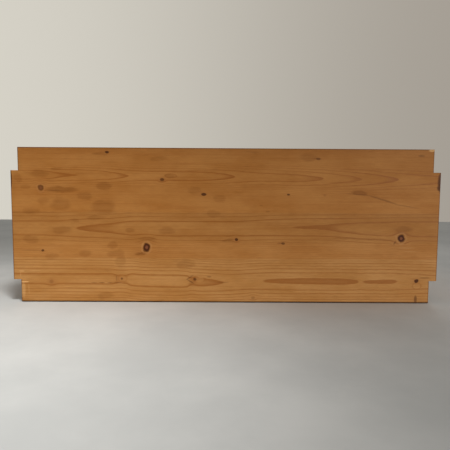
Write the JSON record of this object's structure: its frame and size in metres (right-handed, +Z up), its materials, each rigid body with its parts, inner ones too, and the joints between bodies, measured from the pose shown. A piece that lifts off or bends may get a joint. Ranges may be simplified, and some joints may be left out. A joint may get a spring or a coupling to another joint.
{
  "type": "top bar hive",
  "caption": "Straight-sided long wooden beehive with notched side boards, loose comb bars, a movable follower board, wire floor, pull-out tray and turning entrance disc.",
  "frame": {"origin": "on the ground under the middle of the box", "axes": "+X along the box towards the entrance end, the pictured side faces -Y, +Z up"},
  "size_m": [1.1056, 0.504, 0.4],
  "materials": {
    "oiled_pine": "oiled pine, honey brown, satin",
    "raw_pine": "planed bare pine, matt",
    "plywood": "thin birch plywood, matt",
    "beech_dowel": "fluted beech dowel, matt",
    "zinc_screw": "zinc-plated steel",
    "wire_mesh": "woven galvanised wire",
    "galvanised_sheet": "galvanised sheet, dull"
  },
  "bodies": {
    "hive_box": {"front_side_board": "oiled_pine", "rear_side_board": "oiled_pine", "left_end_board": "oiled_pine", "right_end_board": "oiled_pine", "left_top_rail": "raw_pine", "right_top_rail": "raw_pine", "corner_dowels": "beech_dowel", "rail_screws": "zinc_screw", "floor_batten_front": "raw_pine", "floor_batten_rear": "raw_pine", "floor_cross_left": "raw_pine", "floor_cross_mid_left": "raw_pine", "floor_cross_mid_right": "raw_pine", "floor_cross_right": "raw_pine", "floor_screws": "zinc_screw", "floor_mesh": "wire_mesh", "mesh_staples": "zinc_screw", "tray_runner_front": "raw_pine", "tray_runner_rear": "raw_pine", "runner_screws": "zinc_screw", "disc_screw": "zinc_screw"},
    "floor_tray": {"tray_board": "plywood", "tray_lip": "raw_pine"},
    "entrance_disc": {"entrance_disc": "galvanised_sheet"},
    "follower": {"follower_bar": "raw_pine", "follower_panel": "raw_pine", "follower_screws": "zinc_screw"},
    "top_bar_01": {"top_bar_01": "raw_pine"},
    "top_bar_02": {"top_bar_02": "raw_pine"},
    "top_bar_03": {"top_bar_03": "raw_pine"},
    "top_bar_04": {"top_bar_04": "raw_pine"},
    "top_bar_05": {"top_bar_05": "raw_pine"},
    "top_bar_06": {"top_bar_06": "raw_pine"},
    "top_bar_07": {"top_bar_07": "raw_pine"},
    "top_bar_08": {"top_bar_08": "raw_pine"},
    "top_bar_09": {"top_bar_09": "raw_pine"},
    "top_bar_10": {"top_bar_10": "raw_pine"},
    "top_bar_11": {"top_bar_11": "raw_pine"},
    "top_bar_12": {"top_bar_12": "raw_pine"},
    "top_bar_13": {"top_bar_13": "raw_pine"},
    "top_bar_14": {"top_bar_14": "raw_pine"},
    "top_bar_15": {"top_bar_15": "raw_pine"},
    "top_bar_16": {"top_bar_16": "raw_pine"},
    "top_bar_17": {"top_bar_17": "raw_pine"},
    "top_bar_18": {"top_bar_18": "raw_pine"},
    "top_bar_19": {"top_bar_19": "raw_pine"},
    "top_bar_20": {"top_bar_20": "raw_pine"},
    "top_bar_21": {"top_bar_21": "raw_pine"},
    "top_bar_22": {"top_bar_22": "raw_pine"},
    "top_bar_23": {"top_bar_23": "raw_pine"},
    "top_bar_24": {"top_bar_24": "raw_pine"},
    "top_bar_25": {"top_bar_25": "raw_pine"},
    "top_bar_26": {"top_bar_26": "raw_pine"},
    "top_bar_27": {"top_bar_27": "raw_pine"},
    "top_bar_28": {"top_bar_28": "raw_pine"}
  },
  "joints": [
    {"name": "entrance_disc_turn", "type": "hinge", "parent": "hive_box", "child": "entrance_disc", "pos_m": [0.5503, 0, 0.141], "axis": [1, 0, 0], "continuous": true},
    {"name": "floor_tray_slide", "type": "slide", "parent": "hive_box", "child": "floor_tray", "axis": [-1, 0, 0], "range_m": [0, 1]},
    {"name": "follower_lift", "type": "slide", "parent": "hive_box", "child": "follower", "axis": [0, 0, 1], "range_m": [0, 0.34]},
    {"name": "top_bar_01_lift", "type": "slide", "parent": "hive_box", "child": "top_bar_01", "axis": [0, 0, 1], "range_m": [0, 0.3]},
    {"name": "top_bar_02_lift", "type": "slide", "parent": "hive_box", "child": "top_bar_02", "axis": [0, 0, 1], "range_m": [0, 0.3]},
    {"name": "top_bar_03_lift", "type": "slide", "parent": "hive_box", "child": "top_bar_03", "axis": [0, 0, 1], "range_m": [0, 0.3]},
    {"name": "top_bar_04_lift", "type": "slide", "parent": "hive_box", "child": "top_bar_04", "axis": [0, 0, 1], "range_m": [0, 0.3]},
    {"name": "top_bar_05_lift", "type": "slide", "parent": "hive_box", "child": "top_bar_05", "axis": [0, 0, 1], "range_m": [0, 0.3]},
    {"name": "top_bar_06_lift", "type": "slide", "parent": "hive_box", "child": "top_bar_06", "axis": [0, 0, 1], "range_m": [0, 0.3]},
    {"name": "top_bar_07_lift", "type": "slide", "parent": "hive_box", "child": "top_bar_07", "axis": [0, 0, 1], "range_m": [0, 0.3]},
    {"name": "top_bar_08_lift", "type": "slide", "parent": "hive_box", "child": "top_bar_08", "axis": [0, 0, 1], "range_m": [0, 0.3]},
    {"name": "top_bar_09_lift", "type": "slide", "parent": "hive_box", "child": "top_bar_09", "axis": [0, 0, 1], "range_m": [0, 0.3]},
    {"name": "top_bar_10_lift", "type": "slide", "parent": "hive_box", "child": "top_bar_10", "axis": [0, 0, 1], "range_m": [0, 0.3]},
    {"name": "top_bar_11_lift", "type": "slide", "parent": "hive_box", "child": "top_bar_11", "axis": [0, 0, 1], "range_m": [0, 0.3]},
    {"name": "top_bar_12_lift", "type": "slide", "parent": "hive_box", "child": "top_bar_12", "axis": [0, 0, 1], "range_m": [0, 0.3]},
    {"name": "top_bar_13_lift", "type": "slide", "parent": "hive_box", "child": "top_bar_13", "axis": [0, 0, 1], "range_m": [0, 0.3]},
    {"name": "top_bar_14_lift", "type": "slide", "parent": "hive_box", "child": "top_bar_14", "axis": [0, 0, 1], "range_m": [0, 0.3]},
    {"name": "top_bar_15_lift", "type": "slide", "parent": "hive_box", "child": "top_bar_15", "axis": [0, 0, 1], "range_m": [0, 0.3]},
    {"name": "top_bar_16_lift", "type": "slide", "parent": "hive_box", "child": "top_bar_16", "axis": [0, 0, 1], "range_m": [0, 0.3]},
    {"name": "top_bar_17_lift", "type": "slide", "parent": "hive_box", "child": "top_bar_17", "axis": [0, 0, 1], "range_m": [0, 0.3]},
    {"name": "top_bar_18_lift", "type": "slide", "parent": "hive_box", "child": "top_bar_18", "axis": [0, 0, 1], "range_m": [0, 0.3]},
    {"name": "top_bar_19_lift", "type": "slide", "parent": "hive_box", "child": "top_bar_19", "axis": [0, 0, 1], "range_m": [0, 0.3]},
    {"name": "top_bar_20_lift", "type": "slide", "parent": "hive_box", "child": "top_bar_20", "axis": [0, 0, 1], "range_m": [0, 0.3]},
    {"name": "top_bar_21_lift", "type": "slide", "parent": "hive_box", "child": "top_bar_21", "axis": [0, 0, 1], "range_m": [0, 0.3]},
    {"name": "top_bar_22_lift", "type": "slide", "parent": "hive_box", "child": "top_bar_22", "axis": [0, 0, 1], "range_m": [0, 0.3]},
    {"name": "top_bar_23_lift", "type": "slide", "parent": "hive_box", "child": "top_bar_23", "axis": [0, 0, 1], "range_m": [0, 0.3]},
    {"name": "top_bar_24_lift", "type": "slide", "parent": "hive_box", "child": "top_bar_24", "axis": [0, 0, 1], "range_m": [0, 0.3]},
    {"name": "top_bar_25_lift", "type": "slide", "parent": "hive_box", "child": "top_bar_25", "axis": [0, 0, 1], "range_m": [0, 0.3]},
    {"name": "top_bar_26_lift", "type": "slide", "parent": "hive_box", "child": "top_bar_26", "axis": [0, 0, 1], "range_m": [0, 0.3]},
    {"name": "top_bar_27_lift", "type": "slide", "parent": "hive_box", "child": "top_bar_27", "axis": [0, 0, 1], "range_m": [0, 0.3]},
    {"name": "top_bar_28_lift", "type": "slide", "parent": "hive_box", "child": "top_bar_28", "axis": [0, 0, 1], "range_m": [0, 0.3]}
  ]
}
